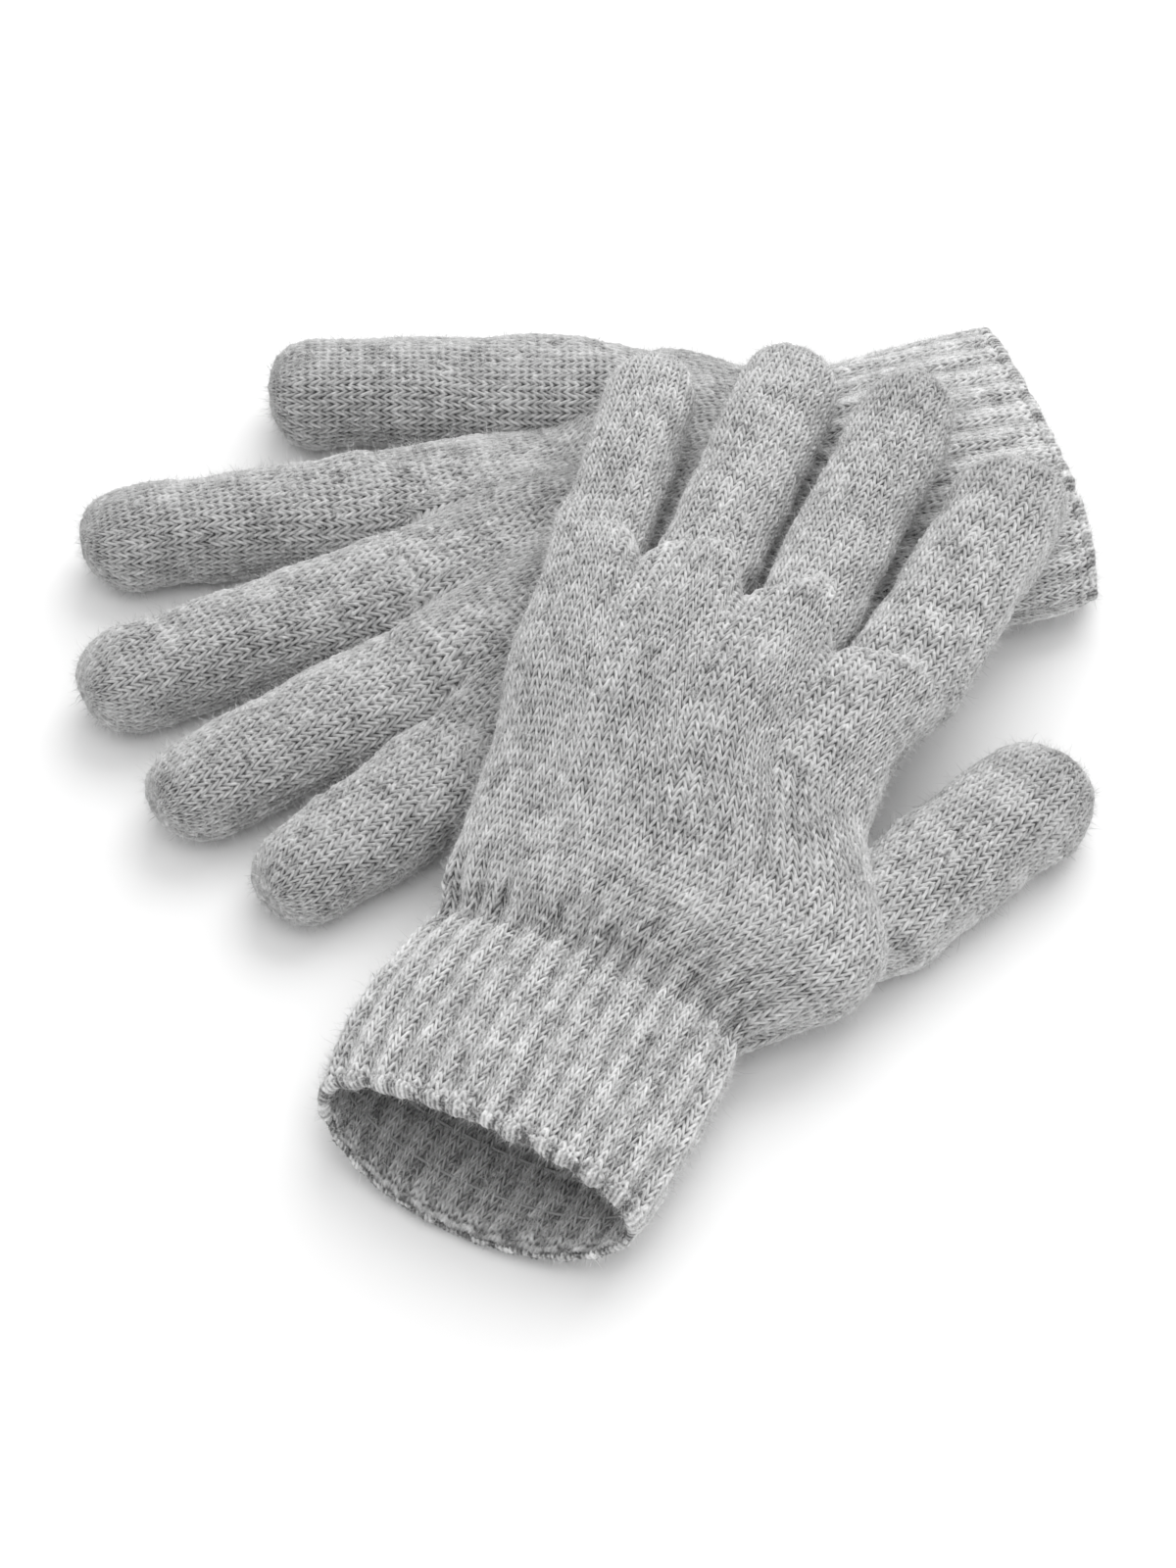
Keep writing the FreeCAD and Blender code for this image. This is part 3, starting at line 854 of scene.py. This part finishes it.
def build_sleeve(glove, seed):
    shape = SLEEVES[glove]
    points, rib, step = sleeve_surface(glove)
    points, rib, row_step, source = even_rows(points, rib, step, ROW_STEP)
    wale = np.arange(SLEEVE_WALES * COLUMNS) / COLUMNS
    normals = grid_normals(points)
    wrist_row = float(np.interp(CUFF_ROWS, source, np.arange(len(source))))
    from_wrist = (np.arange(points.shape[0]) - wrist_row) * row_step
    soft = 0.8 * ripple(points, 26.0, seed + 1) * smooth(from_wrist, -5, 25)[:, None]
    pinch = -1.1 * np.exp(-((from_wrist - 1.0) / 4.5) ** 2)[:, None]
    pucker = np.exp(-((from_wrist - 5) / 9.0) ** 2)[:, None]
    rng = np.random.default_rng(seed + 2)
    turn = 2 * math.pi * wale / SLEEVE_WALES
    folds = sum(rng.uniform(0.3, 0.8) * np.sin(turn * n + rng.uniform(0, 6.3)) for n in PUCKERS)
    lift = soft + pinch + pucker * folds[None, :] * 0.6
    near_hem = 1 - smooth(np.arange(len(points)) * row_step, 1.0, 9.0)
    under = smooth(-normals[..., 2], -0.2, 0.6) * near_hem[:, None]
    lift = lift + RIB_RELIEF[glove] * rib * (rib_height(wale)[None, :] - 0.5) * (1 - 0.8 * under)
    smooth_points = points + normals * lift[..., None]
    knit = Knit(smooth_points, row_step, SLEEVE_WALES, COURSE["palm"], seed, rib=rib * RIB_SHADE[glove])
    total = len(knit.q) - 1
    length = row_step * (points.shape[0] - 1)

    def row_at(distance):
        return int(round(distance / length * total / ROWS)) * ROWS

    wrist = wrist_row * row_step
    cuts = [0, row_at(wrist - 1.0), row_at(wrist + HEEL), total]
    palm_body = f"{glove}_glove"
    turning = {}
    if glove == "upper":
        pivot = np.array(joint("upper_wrist_fold")["pos_m"], float) / MM
        _, axes = glove_axes(glove)
        turning = {"start": pivot + axes[1] * 7.0, "end": pivot - axes[1] * 7.0}

    def settle(piece, slot, *nodes):
        if turning:
            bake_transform(piece)
        else:
            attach(piece, palm_body)
        if nodes:
            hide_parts(*nodes)

    settle(knit_piece(f"{glove}_cuff_ribs", knit, *cuts[:2], RIB, seed), "rib_knit", f"{glove}_cuff")
    settle(knit_piece(f"{glove}_palm_heel_knit", knit, *cuts[1:3], PLAIN[glove], seed), "plain_knit")
    cuff_nap = nap_piece(f"{glove}_cuff_nap", knit, *cuts[:2], NAP * 1.9, seed + 3, 1.05, (0.74, 0.20))
    settle(cuff_nap, "rib_knit")
    settle(nap_piece(f"{glove}_palm_heel_nap", knit, *cuts[1:3], NAP, seed + 4), "plain_knit")
    front = knit_piece(f"{glove}_palm_front_knit", knit, cuts[2], cuts[3], PLAIN[glove], seed)
    front_nap = nap_piece(f"{glove}_palm_front_nap", knit, cuts[2], cuts[3] - 8, NAP, seed + 5)
    for piece in (front, front_nap):
        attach(piece, palm_body)
    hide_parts(f"{glove}_palm")

    # The inside of the cuff, the rolled edge and the turns of elastic.
    normals = grid_normals(points)
    depth_rows = int((wrist + LINING_REACH) / row_step)
    inside = points[:depth_rows] - normals[:depth_rows] * LINING_DEPTH
    ridge = RIB_RELIEF[glove] * 0.6 * (rib_height(wale) - 0.5)
    inside = inside + normals[:depth_rows] * ridge[None, :, None]
    inside = inside[:, ::-1]
    inner = Knit(inside, row_step, SLEEVE_WALES, COURSE["cuff"], seed + 7)
    # Painted shade: the lining's colour darkens where it lies deepest, in the grooves behind the knit ribs.
    inner.relief *= 0.62 + 0.38 * (1 - rib_height(wale[::-1]))
    lining = knit_piece(f"{glove}_cuff_lining", inner, 0, len(inner.q) - 1, LINING, seed + 7)
    settle(lining, "rib_knit")
    name = f"{glove}_cuff_lining_nap"
    settle(nap_piece(name, inner, 0, len(inner.q) - 1, 0.7, seed + 9, 0.8, (0.45, 0.35)), "rib_knit")

    build_welt(glove, points, normals, row_step, wale, seed, settle)
    build_elastic(glove, points, normals, row_step, settle)


def build_welt(glove, points, normals, row_step, wale, seed, settle):
    """The rolled, scalloped edge of the hem: a fat cord of chain stitches."""
    along = unit(points[3] - points[0])
    middle = points[0] - normals[0] * 1.0 + along * 0.7
    rib = rib_height(wale)
    turns = np.arange(WELT_SIDES) / WELT_SIDES * 2 * math.pi
    loose = 1 + 0.14 * ripple(points[0], 4.0, seed + 4) + 0.10 * ripple(points[0], 9.0, seed + 5)
    rows = []
    for angle in turns:
        slant = np.abs(((wale * 2 + angle / math.pi * 0.7) % 1.0) - 0.5) * 2
        size = 1.35 + (RIB_RELIEF[glove] - 0.7) * rib * (0.5 + 0.5 * math.cos(angle))
        size = size + 0.45 * (np.sqrt(1 - slant**2) - 0.6)
        size = size * (1 - 0.5 * smooth(-normals[0, :, 2], -0.2, 0.6)) * loose
        out = normals[0] * math.cos(angle) - along * math.sin(angle)
        rows.append(middle + out * size[:, None])
    grid = above_floor(np.array(rows))
    count, columns = grid.shape[:2]
    j, i = np.meshgrid(np.arange(count), np.arange(columns), indexing="ij")
    jj, ii = (j + 1) % count, (i + 1) % columns
    corners = [j * columns + i, j * columns + ii, jj * columns + ii, jj * columns + i]
    quads = np.stack(corners, -1).reshape(-1, 4).tolist()
    slant = np.abs(((wale[None, :] * 2 + turns[:, None] / math.pi * 0.7) % 1.0) - 0.5) * 2
    # The welt's relief only colours it: painted shade in its purl wales and in the gaps between the chain
    # loops.
    relief = 0.76 - 1.7 * RIB_SHADE[glove] * (1 - rib[None, :]) - 0.42 * slant
    rng = np.random.default_rng(seed + 3)
    tone = np.repeat(rng.normal(0, 1, len(wale) // 4), 4)[None, :] * np.ones((count, 1))
    yarn = np.stack(np.broadcast_arrays(wale[None, :], turns[:, None] * 0.6, 0.0 * relief), -1)
    values = {"relief": relief, "tone": tone}
    welt = add_mesh(f"{glove}_cuff_welt_roll", grid, quads, RIB, values, {"yarn": yarn})
    settle(welt, "rib_knit", f"{glove}_cuff_welt")
    outward = unit(grid - grid.mean(0))
    strip = types.SimpleNamespace(points=grid, normals=outward)
    fuzz = nap_piece(f"{glove}_cuff_welt_nap", strip, 0, count - 1, 2.2, seed + 6, 0.75, (0.70, 0.24))
    settle(fuzz, "rib_knit")


def build_elastic(glove, points, normals, row_step, settle):
    """The turns of elastic thread, which show between the ribs inside the cuff."""
    rings, faces = [], []
    sides = ELASTIC_SIDES
    for turn in range(ELASTIC_TURNS):
        row = int((ELASTIC_FIRST + ELASTIC_PITCH * turn) / row_step)
        line = points[row, ::2] - normals[row, ::2] * ELASTIC_DEPTH
        along = unit(points[row + 2, ::2] - points[row, ::2])
        out = normals[row, ::2]
        count = len(line)
        first = sum(len(r) for r in rings)
        angle = np.arange(sides) / sides * 2 * math.pi
        twist = 0.06 * np.sin(np.arange(count)[:, None] * 2.1 + angle[None, :])
        spoke = np.cos(angle)[None, :, None] * out[:, None] + np.sin(angle)[None, :, None] * along[:, None]
        ring = line[:, None] + (ELASTIC_RADIUS + twist)[..., None] * spoke
        rings.append(ring.reshape(-1, 3))
        i, k = np.meshgrid(np.arange(count), np.arange(sides), indexing="ij")
        ii, kk = (i + 1) % count, (k + 1) % sides
        corners = [i * sides + k, i * sides + kk, ii * sides + kk, ii * sides + k]
        faces += (np.stack(corners, -1).reshape(-1, 4) + first).tolist()
    piece = add_mesh(f"{glove}_cuff_elastic_turns", np.concatenate(rings), faces, ELASTIC)
    settle(piece, "elastic_thread", f"{glove}_cuff_elastic")


for number, glove in enumerate(GLOVES):
    build_sleeve(glove, 100 + 50 * number)
    for place, name in enumerate(DIGITS):
        build_digit(glove, name, 200 + 50 * number + 7 * place)


# ---------------------------------------------------------------------------------------------
# Floor, light and camera
# ---------------------------------------------------------------------------------------------


def build_stage():
    mesh = bpy.data.meshes.new("floor")
    reach = 6.0
    corners = [(x * reach, y * reach, 0) for x, y in ((-1, -1), (1, -1), (1, 1), (-1, 1))]
    mesh.from_pydata(corners, [], [(0, 1, 2, 3)])
    floor = bpy.data.objects.new("floor", mesh)
    bpy.context.scene.collection.objects.link(floor)
    material = mottled_material("floor_white", 3.0, 0.90, 0.92, 0.9)
    material.node_tree.nodes["Principled BSDF"].inputs["Specular IOR Level"].default_value = 0.0
    mesh.materials.append(material)


def build_light(name, place, size, power):
    """A square lamp in metres and watts, aimed at the middle of the scene."""
    light = bpy.data.lights.new(name, "AREA")
    light.shape = "RECTANGLE"
    light.size = light.size_y = size
    light.energy = power
    obj = bpy.data.objects.new(name, light)
    obj.location = place
    obj.rotation_euler = (-Vector(place)).to_track_quat("-Z", "Y").to_euler()
    bpy.context.scene.collection.objects.link(obj)


def build_camera():
    camera = bpy.data.cameras.new("camera")
    camera.sensor_width = 36.0
    camera.lens = 107.3
    camera.clip_start = 0.01
    obj = bpy.data.objects.new("camera", camera)
    elevation, distance = math.radians(47.0), 1.050
    aim = Vector((-0.0014, 0.0001, 0.0))
    obj.location = aim + Vector((0, -math.cos(elevation), math.sin(elevation))) * distance
    obj.rotation_euler = (math.pi / 2 - elevation, 0, 0)
    bpy.context.scene.collection.objects.link(obj)
    bpy.context.scene.camera = obj


def build_world():
    world = bpy.data.worlds.new("studio")
    bpy.context.scene.world = world
    world.use_nodes = True
    background = world.node_tree.nodes["Background"]
    background.inputs["Color"].default_value = (1.0, 1.0, 1.0, 1)
    background.inputs["Strength"].default_value = 0.81


build_stage()
build_world()
build_camera()
build_light("key", (0.45, 1.05, 1.15), 1.4, 17)
build_light("fill", (0.3, -0.9, 1.5), 1.6, 5)
bpy.context.scene.view_settings.view_transform = "Standard"
